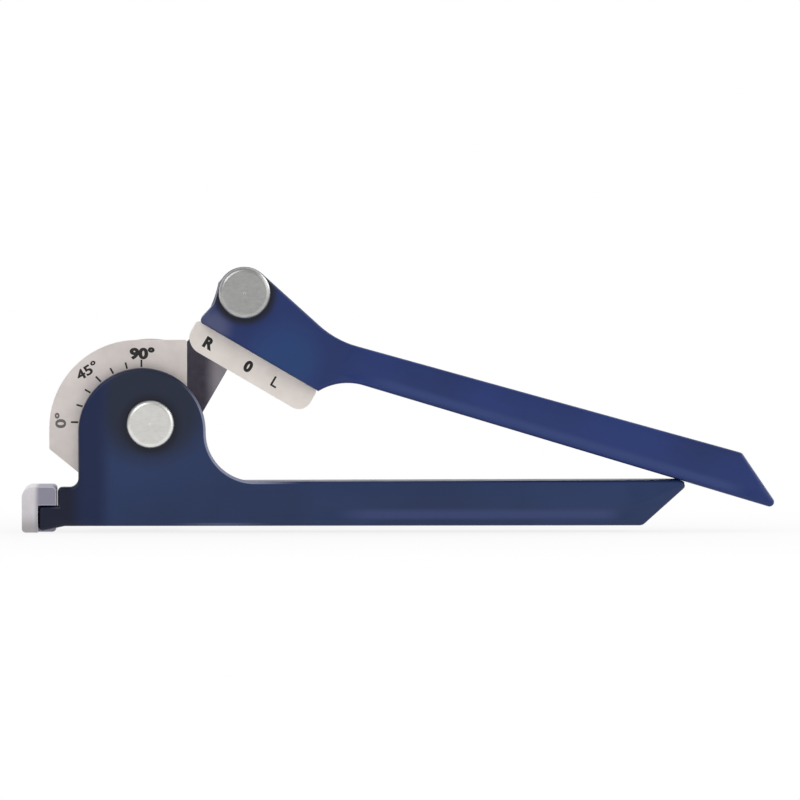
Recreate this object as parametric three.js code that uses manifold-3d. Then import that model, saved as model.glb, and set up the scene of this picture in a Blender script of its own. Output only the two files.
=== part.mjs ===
// Lever tube bender for three tube sizes, closed as it is put away.
// Millimetres. X runs along the lower handle, Y from front to rear, Z up.
// The origin is on the underside, below the main pivot, in the middle of the handle's depth.
import * as THREE from 'three';
import { mergeVertices } from 'three/addons/utils/BufferGeometryUtils.js';
import Module from 'manifold-3d';

const wasm = await Module();
wasm.setup();

const degree = Math.PI / 180;

// Clearances
const seatGap = 0.3;
const runGap = 0.45;
const overrun = 2;
const weld = 0.001;

// Tubes, largest first from the front, and the half-round grooves that they lie in
const tubeDiameters = [9.525, 7.9375, 6.35];
const tubeSlack = 0.15;
const ribWidth = 1.8;
const formerRadius = 28.5;

// Pivots: the link stands at restLift above the horizontal when the handles are closed.
// It is as long as keeps the shoe's face shoeGap outside the former.
const pivotHeight = 34.5;
const restLift = 54.3 * degree;
const pinRadius = 5;
const seatDrop = 15.6;
const shoeHeight = 9.7;
const shoeGap = 0.7;
const shoeDrop = seatDrop + shoeHeight;
const linkLength = formerRadius + shoeGap + shoeDrop;

// Depths, from front to rear
const armDepth = 21.8;
const cheekDepth = 8.5;
const plateDepth = 2;
const linkDepth = 5;
const washerDepth = 1;
const clipDepth = 1.2;
const frontY = -armDepth / 2;
const plateY = frontY + cheekDepth + seatGap;
const formerY = plateY + plateDepth + seatGap;
const grooveRadii = tubeDiameters.map((diameter) => diameter / 2 + tubeSlack);
const formerDepth = grooveRadii.reduce((sum, radius) => sum + 2 * radius + ribWidth, ribWidth);
const rearY = formerY + formerDepth;
const innerWasherY = rearY + seatGap;
const linkY = innerWasherY + washerDepth + seatGap;
const outerWasherY = linkY + linkDepth + seatGap;
const clipY = outerWasherY + washerDepth + seatGap;
const pinTail = 2;
const pinEndY = clipY + clipDepth + pinTail;

// Lower handle: a cheek in front of the former, a saddle under it and a long arm
const cheekMargin = 4.1;
const cheekLeft = formerRadius - cheekMargin;
const cheekRight = 18.7;
const cheekRise = 18.9;
const cheekTop = pivotHeight + cheekRise;
const cheekFillet = 17;
const armRootTop = 15;
const armReach = 182.4;
const armNoseLength = 15.7;
const armTipCorner = 1.3;
const armCorner = 2.8;
const saddleInset = 1.5;
const saddleLeft = cheekLeft - saddleInset;
const saddleTop = 16;
const castingBevel = 1.2;
const castingArcSteps = 24;

// Former: the groove's straight lead-in ends at a slanted toe
const formerToe = 8.6;
const formerInset = 0.5;
const formerFoot = saddleLeft - formerInset;
const formerRight = 11.6;
const saddleMargin = 2.4;
const saddleRight = formerRight + saddleMargin;
const grooveTurn = 135 * degree;
const grooveSteps = 20;
const grooveSides = 16;

// Tube hook: a wall across all three tubes and a leg that lies on the lug
const hookStandoff = 3.4;
const hookCrest = formerRadius + hookStandoff;
const hookLedge = 5.9;
const hookWall = 5.7;
const hookDrop = 2.2;
const hookBevel = 3.4;
const hookShy = 0.8;

// Lug on the lower handle's left end, which carries the tube hook
const lugTop = 13.2;
const lugStep = hookCrest - 2 * seatGap;
const lugReach = hookCrest + hookLedge;
const hookReach = lugReach + hookWall;
const lugHeight = 6.8;
const lugRun = 2.3;
const lugSlant = lugStep - lugRun;
const lugFillet = 3;
const lugCorner = 1.4;

// Scale plate: its quarter arc is struck a little left of the pivot
const plateLip = 1.4;
const plateOffset = 4.4;
const plateShy = 0.1;
const plateReveal = 0.8;
const plateRadius = formerRadius + plateLip;
const plateLeft = plateRadius + plateOffset;
const plateTop = formerRadius - plateShy;
const plateRight = formerRight + plateReveal;
const plateCorner = 0.8;

// Upper handle, in its own frame: along the arm from the upper pivot, and square to it
const armSlope = 15.9 * degree;
const headRadius = 8.9;
const bossShy = 0.7;
const bossRadius = headRadius - bossShy;
const headFlankSlope = 26.2 * degree;
const headBlend = 32;
const gripTopRoot = 6.9;
const gripTopTip = 5.9;
const gripUnderRoot = 18.9;
const gripUnderTip = 21;
const gripReach = 195.1;
const gripNoseLength = 18;
const gripTopReach = gripReach - gripNoseLength;
const gripCorner = 1.6;
const hollowRadius = 20;
const hollowShare = 0.95;
const heelReach = 33.1;
const seatSlope = 14.4 * degree;
const seatLead = 8.6;
const seatKink = 6.4;
const seatLip = 0.5;
const flangeHeight = 9;
const ledgeLead = 5.6;

// Forming shoe, in the seat's frame
const shoeLead = 8.9;
const shoeReach = 38.2;
const shoeLeadCorner = 5.5;
const shoeEndCorner = 4.5;

// Link: its left side is drawn in, so that it stays out of sight behind the shoe
const linkFootRadius = 14;
const linkHeadRadius = headRadius - seatGap;
const linkWaist = 5.3;
const linkWaistRadius = 40;
const linkWaistShare = 0.66;
const bushWall = 1;

// Pins, washers and retaining clips
const mainHeadRadius = 8.1;
const upperHeadRadius = 8.7;
const headHeight = 3.4;
const headBevel = 0.6;
const washerOverlap = 3.4;
const clipWidth = 2.4;
const clipGroove = 0.8;
const clipMouth = 50 * degree;
const dowelRadius = 2;
const dowelSeat = 4;

// Screws
const formerScrew = { shank: 2.5, head: 4.25, height: 5, socket: 2, grip: 8 };
const hookScrew = { shank: 2, head: 3.8, height: 2, socket: 1.25, grip: 4.3 };
const shoeScrew = { shank: 2, head: 3.5, height: 4, socket: 1.5, grip: 4.5 };

const mainPivot = { x: 0, z: pivotHeight };
const upperPivot = {
  x: linkLength * Math.cos(restLift),
  z: pivotHeight + linkLength * Math.sin(restLift),
};

const group = new THREE.Group();

// Materials
function painted(color) {
  return new THREE.MeshStandardMaterial({ color, roughness: 0.38, metalness: 0 });
}

function bareMetal(color, roughness) {
  return new THREE.MeshStandardMaterial({ color, roughness, metalness: 1 });
}

const aluminium = () => bareMetal('#cfcac6', 0.42);
const steel = () => bareMetal('#a9a9a8', 0.35);
const darkSteel = () => bareMetal('#3b3a42', 0.5);
const bronze = () => bareMetal('#a5793f', 0.4);

// Solids
function solid(geometry) {
  const bare = geometry.clone();
  bare.deleteAttribute('normal');
  bare.deleteAttribute('uv');
  const merged = mergeVertices(bare);
  return new wasm.Manifold(new wasm.Mesh({
    numProp: 3,
    vertProperties: new Float32Array(merged.attributes.position.array),
    triVerts: new Uint32Array(merged.index.array),
  }));
}

function addPart(name, body, material) {
  const mesh = body.getMesh();
  const geometry = new THREE.BufferGeometry();
  geometry.setAttribute('position', new THREE.BufferAttribute(mesh.vertProperties, 3));
  geometry.setIndex(new THREE.BufferAttribute(mesh.triVerts, 1));
  geometry.computeVertexNormals();
  const part = new THREE.Mesh(geometry, material);
  part.name = name;
  group.add(part);
}

// An outline from corners [x, z, radius]: a corner with a radius becomes a tangent arc
function outline(corners, arcSteps) {
  const points = [];
  const add = (x, y) => {
    const last = points[points.length - 1];
    if (!last || Math.hypot(last.x - x, last.y - y) > weld) points.push(new THREE.Vector2(x, y));
  };
  corners.forEach(([x, z, radius = 0], index) => {
    const before = corners[(index + corners.length - 1) % corners.length];
    const after = corners[(index + 1) % corners.length];
    if (radius === 0) {
      add(x, z);
      return;
    }
    const corner = new THREE.Vector2(x, z);
    const back = new THREE.Vector2(before[0] - x, before[1] - z).normalize();
    const ahead = new THREE.Vector2(after[0] - x, after[1] - z).normalize();
    const half = Math.acos(THREE.MathUtils.clamp(back.dot(ahead), -1, 1)) / 2;
    const middle = back.clone().add(ahead).normalize().multiplyScalar(radius / Math.sin(half)).add(corner);
    const start = corner.clone().addScaledVector(back, radius / Math.tan(half)).sub(middle);
    const turn = (Math.PI - 2 * half) * Math.sign(ahead.cross(back));
    const steps = Math.max(2, Math.round(arcSteps * Math.abs(turn) / (Math.PI / 2)));
    for (let step = 0; step <= steps; step += 1) {
      const angle = start.angle() + turn * step / steps;
      add(middle.x + radius * Math.cos(angle), middle.y + radius * Math.sin(angle));
    }
  });
  const first = points[0];
  const last = points[points.length - 1];
  if (Math.hypot(last.x - first.x, last.y - first.y) <= weld) points.pop();
  return new THREE.Shape(points);
}

// A plate from an outline, between two depths, with its face edges bevelled
function plate(corners, fromY, toY, bevel = 0, curveSegments = 10) {
  const shape = Array.isArray(corners) ? outline(corners, curveSegments) : corners;
  const geometry = new THREE.ExtrudeGeometry(shape, {
    depth: toY - fromY - 2 * bevel,
    bevelEnabled: bevel > 0,
    bevelThickness: bevel,
    bevelSize: bevel,
    bevelOffset: -bevel,
    bevelSegments: 2,
    curveSegments,
  });
  geometry.rotateX(Math.PI / 2);
  geometry.translate(0, toY - bevel, 0);
  return solid(geometry);
}

// A body turned about a line along +Y through the origin, from [radius, y] points
function turned(points, segments = 32) {
  return solid(new THREE.LatheGeometry(points.map(([r, y]) => new THREE.Vector2(r, y)), segments));
}

function rod(radius, fromY, toY, segments = 32) {
  return turned([[0, fromY], [radius, fromY], [radius, toY], [0, toY]], segments);
}

function block(fromX, toX, fromY, toY, fromZ, toZ) {
  const geometry = new THREE.BoxGeometry(toX - fromX, toY - fromY, toZ - fromZ);
  geometry.translate((fromX + toX) / 2, (fromY + toY) / 2, (fromZ + toZ) / 2);
  return solid(geometry);
}

function at(body, { x, z }) {
  return body.translate([x, 0, z]);
}

// Turns the XZ plane about +Y so that the X axis dips by an angle
function dipped(body, angle) {
  return body.rotate([0, angle / degree, 0]);
}

// Middle depth of each groove, from the front
function grooveDepths() {
  let edge = formerY;
  return grooveRadii.map((radius) => {
    const middle = edge + ribWidth + radius;
    edge = middle + radius;
    return middle;
  });
}

// Screws: the tip of each screw points along +Y, and its head's outer face is at y = 0
function capScrew({ shank, head, height, socket }, length) {
  const body = turned([[0, 0], [head, 0], [head, height], [shank, height], [shank, length], [0, length]], 24);
  return body.subtract(rod(socket, -overrun, height / 2, 6));
}

function capScrewHole({ shank, head, height }, length) {
  const wide = head + seatGap;
  const narrow = shank + seatGap;
  const step = height + seatGap;
  const end = length + seatGap;
  return turned([[0, -overrun], [wide, -overrun], [wide, step], [narrow, step], [narrow, end], [0, end]], 24);
}

function flatScrew({ shank, head, height, socket }, length) {
  const body = turned([[0, 0], [head, 0], [shank, height], [shank, length], [0, length]], 24);
  return body.subtract(rod(socket, -overrun, height / 2, 6));
}

function flatScrewHole({ shank, head, height }, length) {
  const wide = head + seatGap;
  const narrow = shank + seatGap;
  const step = height + seatGap;
  const end = length + seatGap;
  return turned([[0, -overrun], [wide, -overrun], [wide, seatGap], [narrow, step], [narrow, end], [0, end]], 24);
}

// The hook's screw runs along +X through the hook's wall into the end of the lug
function hookScrewPlace(body) {
  return body.rotate([0, 0, -90]).translate([-hookReach, lugMiddle.y, lugMiddle.z]);
}

// Places that more than one piece shares
const pinHole = pinRadius + seatGap;
const formerScrewShares = [-0.62, 0.3];
const formerScrewSpots = formerScrewShares.map((share) => ({
  x: share * saddleLeft,
  y: (formerY + rearY) / 2,
}));
const formerScrewSink = 0.6;
const formerScrewLength = saddleTop + formerScrew.grip - formerScrewSink;
const dowelShares = [[-0.5, -0.35], [0.26, 0.5]];
const dowelSpots = dowelShares.map(([across, up]) => ({
  x: across * cheekLeft,
  z: pivotHeight + up * (cheekTop - pivotHeight),
}));
const dowelFromY = plateY - dowelSeat;
const dowelToY = formerY + dowelSeat;
const hookScrewLength = hookWall + hookScrew.grip;
const lugMiddle = { y: frontY + cheekDepth / 2, z: (lugHeight - hookDrop) / 2 };
const shoeScrewShares = [0.3, 0.78];
const shoeScrewY = grooveDepths()[2] - grooveRadii[2] - ribWidth / 2;

// The upper arm's underside above a place on the lower arm
function undersideAbove(x) {
  const along = new THREE.Vector2(Math.cos(armSlope), -Math.sin(armSlope));
  const up = new THREE.Vector2(Math.sin(armSlope), Math.cos(armSlope));
  const root = along.clone().multiplyScalar(heelReach).addScaledVector(up, -gripUnderRoot);
  const tip = along.clone().multiplyScalar(gripReach).addScaledVector(up, -gripUnderTip);
  const fall = (tip.y - root.y) / (tip.x - root.x);
  return upperPivot.z + root.y + fall * (x - upperPivot.x - root.x);
}

function lowerHandle() {
  const armTipTop = undersideAbove(armReach) - runGap;
  // Where it can, the arm's top follows the other arm's underside to the tip, so that they rest on each other
  const slope = (undersideAbove(0) - undersideAbove(armReach)) / armReach;
  const restLength = (armRootTop - armTipTop) / slope;
  const restLand = restLength > 2 * armTipCorner && restLength < armNoseLength;
  const rest = restLand ? [[armReach - restLength, armRootTop]] : [];
  const cheekRadius = (cheekLeft + cheekRight) / 2;
  const cheekRoot = Math.min(cheekFillet, cheekTop - armRootTop - cheekRadius - seatGap);
  const cheek = plate([
    [-lugSlant, 0],
    [armReach - armNoseLength, 0, armCorner],
    [armReach, armTipTop, armTipCorner],
    ...rest,
    [cheekRight, armRootTop, cheekRoot],
    [cheekRight, cheekTop, cheekRadius],
    [-cheekLeft, cheekTop, cheekRadius],
    [-cheekLeft, lugTop, lugFillet],
    [-lugStep, lugTop, lugCorner],
    [-lugStep, lugHeight],
    [-lugReach, lugHeight, lugCorner],
    [-lugReach, seatGap - hookDrop, lugCorner],
  ], frontY, frontY + cheekDepth, castingBevel, castingArcSteps);
  const arm = plate([
    [saddleRight - armCorner, 0],
    [armReach - armNoseLength, 0, armCorner],
    [armReach, armTipTop, armTipCorner],
    ...rest,
    [cheekRight, armRootTop],
    [saddleRight - armCorner, armRootTop],
  ], frontY + cheekDepth / 2, -frontY, castingBevel, castingArcSteps);
  const saddle = plate([
    [-saddleLeft, 0, armCorner],
    [saddleRight, 0, armCorner],
    [saddleRight, saddleTop, armCorner / 2],
    [-saddleLeft, saddleTop, armCorner / 2],
  ], frontY + castingBevel, rearY, castingBevel);
  let body = cheek.add(arm).add(saddle);
  body = body.subtract(at(rod(pinHole, frontY - overrun, plateY), mainPivot));
  for (const spot of dowelSpots) {
    body = body.subtract(at(rod(dowelRadius + seatGap, dowelFromY - seatGap, plateY, 20), spot));
  }
  for (const { x, y } of formerScrewSpots) {
    const hole = capScrewHole(formerScrew, formerScrewLength);
    body = body.subtract(hole.rotate([90, 0, 0]).translate([x, y, formerScrewSink]));
  }
  body = body.subtract(hookScrewPlace(flatScrewHole(hookScrew, hookScrewLength)));
  addPart('lower_handle', body, painted('#27315a'));
}

function scalePlate() {
  const foot = saddleTop + seatGap - pivotHeight;
  let body = plate([
    [-formerFoot, foot],
    [plateRight, foot],
    [plateRight, plateTop, plateCorner],
    [-plateLeft, plateTop, plateRadius],
    [-plateLeft, -formerToe, plateCorner],
  ], plateY, plateY + plateDepth, 0, 20);
  body = at(body, mainPivot).subtract(at(rod(pinHole, plateY - overrun, formerY + overrun), mainPivot));
  for (const spot of dowelSpots) {
    body = body.subtract(at(rod(dowelRadius + seatGap, plateY - overrun, formerY + overrun, 20), spot));
  }
  addPart('scale_plate', body, aluminium());
}

// A groove's tool: a round bar up the straight lead-in and over the quarter turn and more
function formerGroove(radius, middleY) {
  const stations = [[-formerRadius, -formerRadius - overrun, Math.PI]];
  for (let step = 0; step <= grooveSteps; step += 1) {
    const heading = Math.PI - grooveTurn * step / grooveSteps;
    stations.push([formerRadius * Math.cos(heading), formerRadius * Math.sin(heading), heading]);
  }
  const points = [];
  const faces = [];
  stations.forEach(([x, z, heading], row) => {
    const start = row * grooveSides;
    for (let side = 0; side < grooveSides; side += 1) {
      const around = 2 * Math.PI * (side + 0.5) / grooveSides;
      const out = radius * Math.cos(around);
      points.push(x + out * Math.cos(heading), middleY + radius * Math.sin(around), z + out * Math.sin(heading));
      const next = (side + 1) % grooveSides;
      if (row > 0) {
        faces.push(start + side, start + next, start + next - grooveSides);
        faces.push(start + side, start + next - grooveSides, start + side - grooveSides);
      }
    }
  });
  const last = (stations.length - 1) * grooveSides;
  for (let side = 1; side < grooveSides - 1; side += 1) {
    faces.push(0, side, side + 1);
    faces.push(last, last + side + 1, last + side);
  }
  return solid(new THREE.BufferGeometry()
    .setAttribute('position', new THREE.Float32BufferAttribute(points, 3))
    .setIndex(faces));
}

function former() {
  const foot = saddleTop + seatGap - pivotHeight;
  const past = Math.asin(formerRight / formerRadius);
  const shape = new THREE.Shape();
  shape.moveTo(-formerFoot, foot);
  shape.lineTo(formerRight, foot);
  shape.lineTo(formerRight, formerRadius * Math.cos(past));
  shape.absarc(0, 0, formerRadius, Math.PI / 2 - past, Math.PI, false);
  shape.lineTo(-formerRadius, -formerToe);
  let body = plate(shape, formerY, rearY, 0, 24);
  grooveDepths().forEach((middle, index) => {
    body = body.subtract(formerGroove(grooveRadii[index], middle));
  });
  body = at(body, mainPivot).subtract(at(rod(pinHole, formerY - overrun, rearY + overrun), mainPivot));
  for (const spot of dowelSpots) {
    body = body.subtract(at(rod(dowelRadius + seatGap, formerY - overrun, dowelToY + seatGap, 20), spot));
  }
  for (const { x, y } of formerScrewSpots) {
    const hole = rod(formerScrew.shank + seatGap, -overrun, formerScrew.grip + seatGap, 24);
    body = body.subtract(hole.rotate([90, 0, 0]).translate([x, y, saddleTop]));
  }
  addPart('former', body, aluminium());
}

function tubeHook() {
  const wallBack = rearY - hookShy;
  const lugRoom = frontY + cheekDepth + seatGap;
  let body = plate([
    [-hookReach, -hookDrop, lugCorner],
    [-hookCrest, -hookDrop, lugCorner],
    [-hookCrest, lugTop, lugCorner],
    [-hookReach, lugTop, hookBevel],
  ], frontY, wallBack);
  body = body.subtract(block(
    -lugReach - seatGap, overrun - hookCrest, frontY - overrun, lugRoom, -hookDrop - overrun, lugHeight + seatGap,
  ));
  grooveDepths().forEach((middle, index) => {
    const reach = lugTop + hookDrop + overrun;
    const scallop = rod(grooveRadii[index], -reach, reach, 24).rotate([90, 0, 0]);
    body = body.subtract(scallop.translate([-formerRadius, middle, 0]));
  });
  body = body.subtract(hookScrewPlace(flatScrewHole(hookScrew, hookScrewLength)));
  addPart('tube_hook', body, aluminium());
  addPart('hook_screw', hookScrewPlace(flatScrew(hookScrew, hookScrewLength)), darkSteel());
}

function formerScrews() {
  formerScrewSpots.forEach(({ x, y }, index) => {
    const screw = capScrew(formerScrew, formerScrewLength).rotate([90, 0, 0]);
    addPart(`former_screw_${index + 1}`, screw.translate([x, y, formerScrewSink]), darkSteel());
  });
}

function dowels() {
  dowelSpots.forEach((spot, index) => {
    addPart(`dowel_pin_${index + 1}`, at(rod(dowelRadius, dowelFromY, dowelToY, 20), spot), steel());
  });
}

// A headed pin, the two washers at the link and the clip in the pin's groove
function pivotSet(prefix, centre, headRadius) {
  const seatY = frontY - seatGap;
  const topY = seatY - headHeight;
  const clipSeat = pinRadius - clipGroove;
  const pin = turned([
    [0, topY],
    [headRadius - headBevel, topY],
    [headRadius, topY + headBevel],
    [headRadius, seatY],
    [pinRadius, seatY],
    [pinRadius, clipY - seatGap],
    [clipSeat - seatGap, clipY - seatGap],
    [clipSeat - seatGap, clipY + clipDepth + seatGap],
    [pinRadius, clipY + clipDepth + seatGap],
    [pinRadius, pinEndY - headBevel],
    [pinRadius - headBevel, pinEndY],
    [0, pinEndY],
  ], 40);
  addPart(`${prefix}_pin`, at(pin, centre), steel());
  const spots = { inner: innerWasherY, outer: outerWasherY };
  for (const [place, y] of Object.entries(spots)) {
    const disc = rod(pinRadius + washerOverlap, y, y + washerDepth);
    const ring = disc.subtract(rod(pinHole, y - overrun, y + washerDepth + overrun));
    addPart(`${prefix}_washer_${place}`, at(ring, centre), steel());
  }
  const clip = new THREE.Shape();
  clip.absarc(0, 0, clipSeat + clipWidth, clipMouth / 2, 2 * Math.PI - clipMouth / 2, false);
  clip.absarc(0, 0, clipSeat, 2 * Math.PI - clipMouth / 2, clipMouth / 2, true);
  addPart(`${prefix}_clip`, at(plate(clip, clipY, clipY + clipDepth), centre), darkSteel());
}

// The link lies along +X here and is lifted to its rest angle
function link() {
  const lean = Math.asin((linkFootRadius - linkHeadRadius) / linkLength);
  const side = Math.PI / 2 - lean;
  const shape = new THREE.Shape();
  shape.absarc(linkLength, 0, linkHeadRadius, -side, side, false);
  shape.absarc(0, 0, linkFootRadius, side, 2 * Math.PI - side, false);
  const eye = pinHole + bushWall;
  let body = plate(shape, linkY, linkY + linkDepth, 0, 16);
  const waist = rod(linkWaistRadius, linkY - overrun, linkY + linkDepth + overrun, 96);
  body = body.subtract(at(waist, { x: linkWaistShare * linkLength, z: linkWaist + linkWaistRadius }));
  body = body.subtract(rod(eye + seatGap, linkY - overrun, linkY + linkDepth + overrun));
  const farEye = rod(eye + seatGap, linkY - overrun, linkY + linkDepth + overrun);
  body = dipped(body.subtract(at(farEye, { x: linkLength, z: 0 })), -restLift);
  addPart('link_plate', at(body, mainPivot), darkSteel());
  const bush = rod(eye, linkY, linkY + linkDepth)
    .subtract(rod(pinHole, linkY - overrun, linkY + linkDepth + overrun));
  addPart('link_bush_main', at(bush, mainPivot), bronze());
  addPart('link_bush_upper', at(bush, upperPivot), bronze());
}

// The heel is where the seat's line ends, and a hollow runs from it into the arm's underside
function headCorners(drop) {
  const seat = (along) => [
    along * Math.cos(seatSlope) - drop * Math.sin(seatSlope),
    -along * Math.sin(seatSlope) - drop * Math.cos(seatSlope),
  ];
  const heel = seat(heelReach / Math.cos(seatSlope) + drop * Math.tan(seatSlope));
  const heelDepth = -heel[1] - gripUnderRoot;
  const turn = Math.acos(1 - heelDepth / hollowRadius);
  const hollowX = heel[0] + hollowRadius * (Math.sin(turn) - Math.tan(turn / 2));
  const crown = headRadius * (1 + Math.sin(headFlankSlope)) / Math.cos(headFlankSlope);
  const neckX = (headRadius / Math.cos(headFlankSlope) + gripTopRoot) / Math.tan(headFlankSlope);
  return [
    [...seat(-seatLead), lugCorner],
    heel,
    [hollowX, -gripUnderRoot, hollowShare * hollowRadius],
    [gripReach, -gripUnderTip, gripCorner],
    [gripTopReach, -gripTopTip, gripCorner],
    [neckX, -gripTopRoot, headBlend],
    [-headRadius, crown, headRadius],
    [-headRadius, -seatKink, lugCorner],
  ];
}

function upperHandle() {
  const lipY = formerY - seatGap;
  const lipped = headCorners(seatDrop + seatLip);
  const rearFrom = lipY - 3 * castingBevel;
  const front = plate(lipped, frontY, lipY, castingBevel, castingArcSteps);
  const rear = plate(headCorners(seatDrop), rearFrom, -frontY, castingBevel, castingArcSteps);
  const slab = dipped(front.add(rear), armSlope);
  const ledgeTop = flangeHeight - seatDrop;
  const seatAngle = armSlope + seatSlope;
  const flangeY = -frontY - 2 * castingBevel;
  const flange = plate([
    [-seatLead, -seatDrop, lugCorner],
    [shoeReach, -seatDrop, lugCorner],
    [shoeReach, ledgeTop, lugFillet],
    [-ledgeLead, ledgeTop, lugFillet],
  ], flangeY, rearY, castingBevel);
  const boss = rod(bossRadius, flangeY, rearY, 40);
  let body = slab.add(dipped(flange, seatAngle)).add(boss);
  body = body.subtract(rod(pinHole, frontY - overrun, rearY + overrun));
  for (const share of shoeScrewShares) {
    const hole = capScrewHole(shoeScrew, flangeHeight + shoeScrew.grip);
    const spot = shoeScrewSpot(share, ledgeTop);
    body = body.subtract(dipped(hole.rotate([-90, 0, 0]).translate(spot), seatAngle));
  }
  addPart('upper_handle', at(body, upperPivot), painted('#263b78'));
}

// A place on the ledge above the shoe, where the screw's head is sunk
function shoeScrewSpot(share, ledgeTop) {
  return [share * shoeReach, shoeScrewY, ledgeTop - seatGap];
}

function formingShoe() {
  const seatAngle = armSlope + seatSlope;
  const ledgeTop = flangeHeight - seatDrop;
  let body = plate([
    [-shoeLead, -shoeDrop, shoeLeadCorner],
    [shoeReach, -shoeDrop, shoeEndCorner],
    [shoeReach, -seatDrop - seatGap, lugCorner],
    [-shoeLead, -seatDrop - seatGap, lugCorner],
  ], formerY, rearY);
  grooveDepths().forEach((middle, index) => {
    const groove = new THREE.CylinderGeometry(grooveRadii[index], grooveRadii[index], 4 * shoeReach, 24);
    groove.rotateZ(Math.PI / 2);
    groove.translate(0, middle, -shoeDrop);
    body = body.subtract(solid(groove));
  });
  const screws = shoeScrewShares.map((share) => shoeScrewSpot(share, ledgeTop));
  for (const spot of screws) {
    const hole = rod(shoeScrew.shank + seatGap, -overrun, flangeHeight + shoeScrew.grip, 24);
    body = body.subtract(hole.rotate([-90, 0, 0]).translate(spot));
  }
  addPart('forming_shoe', at(dipped(body, seatAngle), upperPivot), aluminium());
  screws.forEach((spot, index) => {
    const screw = capScrew(shoeScrew, flangeHeight + shoeScrew.grip - 2 * seatGap);
    const place = dipped(screw.rotate([-90, 0, 0]).translate(spot), seatAngle);
    addPart(`shoe_screw_${index + 1}`, at(place, upperPivot), darkSteel());
  });
}

lowerHandle();
scalePlate();
former();
tubeHook();
formerScrews();
dowels();
pivotSet('main', mainPivot, mainHeadRadius);
link();
upperHandle();
formingShoe();
pivotSet('upper', upperPivot, upperHeadRadius);

export default group;
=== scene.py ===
"""A lever tube bender, closed as it is put away: enamelled handles, bright former, shoe and pins."""

import math

import bmesh
import bpy
from mathutils import Matrix, Vector

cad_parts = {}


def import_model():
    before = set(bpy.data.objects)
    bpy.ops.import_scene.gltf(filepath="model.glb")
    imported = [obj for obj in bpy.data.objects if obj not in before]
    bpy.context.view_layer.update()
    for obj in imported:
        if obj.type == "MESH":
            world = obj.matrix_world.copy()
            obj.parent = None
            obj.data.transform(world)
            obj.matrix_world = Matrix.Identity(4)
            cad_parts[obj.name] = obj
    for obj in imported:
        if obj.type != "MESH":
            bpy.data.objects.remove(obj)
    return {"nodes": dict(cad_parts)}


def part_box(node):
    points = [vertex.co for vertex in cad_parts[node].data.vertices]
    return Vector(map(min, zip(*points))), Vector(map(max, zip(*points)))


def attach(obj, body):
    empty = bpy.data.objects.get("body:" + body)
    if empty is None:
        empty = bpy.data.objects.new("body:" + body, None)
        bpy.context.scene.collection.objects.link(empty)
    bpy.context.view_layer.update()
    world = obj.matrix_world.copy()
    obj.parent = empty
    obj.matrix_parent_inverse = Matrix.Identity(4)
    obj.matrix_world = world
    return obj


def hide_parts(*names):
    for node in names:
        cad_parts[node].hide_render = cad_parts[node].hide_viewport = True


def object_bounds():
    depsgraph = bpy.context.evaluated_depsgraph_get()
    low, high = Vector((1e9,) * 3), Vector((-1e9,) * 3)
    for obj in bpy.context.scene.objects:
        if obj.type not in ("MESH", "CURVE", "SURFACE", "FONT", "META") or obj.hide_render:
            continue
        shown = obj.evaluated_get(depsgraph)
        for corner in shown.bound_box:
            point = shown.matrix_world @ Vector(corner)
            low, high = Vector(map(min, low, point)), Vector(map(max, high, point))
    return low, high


MM = 0.001

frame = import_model()
cad_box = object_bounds()


# Places and sizes of the solids, in millimetres: X along the lower handle, Y from front to rear, Z up
MAIN_PIVOT = Vector((0.0, 0.0, 34.5))
LINK_LENGTH = 54.5
LINK_LIFT = math.radians(54.3)
UPPER_PIVOT = MAIN_PIVOT + LINK_LENGTH * Vector((math.cos(LINK_LIFT), 0.0, math.sin(LINK_LIFT)))
PIN_SHANK = 5.0
PIN_HOLE = 5.3
PIN_HEAD_BACK = -11.2
CLIP_GROOVE = 3.9
HANDLE_FRONT = -10.9
PLATE_FRONT = -2.1
SHOE_FRONT = 0.2
SHOE_DIP = math.radians(30.3)
CHEEK_CROWN = Vector((-2.85, 0.0, 31.85))
CHEEK_RADIUS = 21.55
SCALE_CENTRE = Vector((-3.05, 0.0, 35.0))

# A shallow slope along the foot of each arm's front: the arm's dip, the slope's two edges measured square
# to the arm, and its two ends measured along it
LOWER_SLOPE = {"dip": 0.0, "low": 2.3, "high": 5.2, "start": 60.0, "end": 160.0}
UPPER_SLOPE = {"dip": math.radians(16.64), "low": 67.5, "high": 70.0, "start": 52.0, "end": 190.0}
SLOPE_DEPTH = 0.4
SLOPE_STEP = 0.8
SLOPE_LEAD = 6.0
SLOPE_TAIL = 3.0

# The lower arm's tip rests on the upper arm; the solids keep a running gap of 0.45 mm there
REST_START = 170.0
REST_SKIN = 0.3
REST_LIFT = 0.38

# Printing
INK_DEPTH = 0.04
NUMBER_WIDTH = 1.25
TICK_COUNT = 7
TICK_TURN = 15
TICK_GAP = 0.3
TICK_WIDTH = 0.6
TICK_LENGTH = 2.2
MAIN_TICK_LENGTH = 2.5
SHOE_MARK_SIZE = 5.0
SHOE_MARK_DROP = 20.8


# Materials
def linear(hex_colour):
    """An sRGB hex colour as linear RGBA."""
    channels = [int(hex_colour[i:i + 2], 16) / 255 for i in (1, 3, 5)]
    return [c / 12.92 if c <= 0.04045 else ((c + 0.055) / 1.055) ** 2.4 for c in channels] + [1.0]


def add(tree, kind, inputs=None, **settings):
    """Adds a node with its settings; each input takes a value or the socket that feeds it."""
    made = tree.nodes.new(kind)
    for name, value in settings.items():
        setattr(made, name, value)
    for name, value in (inputs or {}).items():
        if isinstance(value, bpy.types.NodeSocket):
            tree.links.new(value, made.inputs[name])
        else:
            made.inputs[name].default_value = value
    return made


def per_mm(size):
    """The texture scale whose features are about this many millimetres wide."""
    return 1 / (size * MM)


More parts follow.
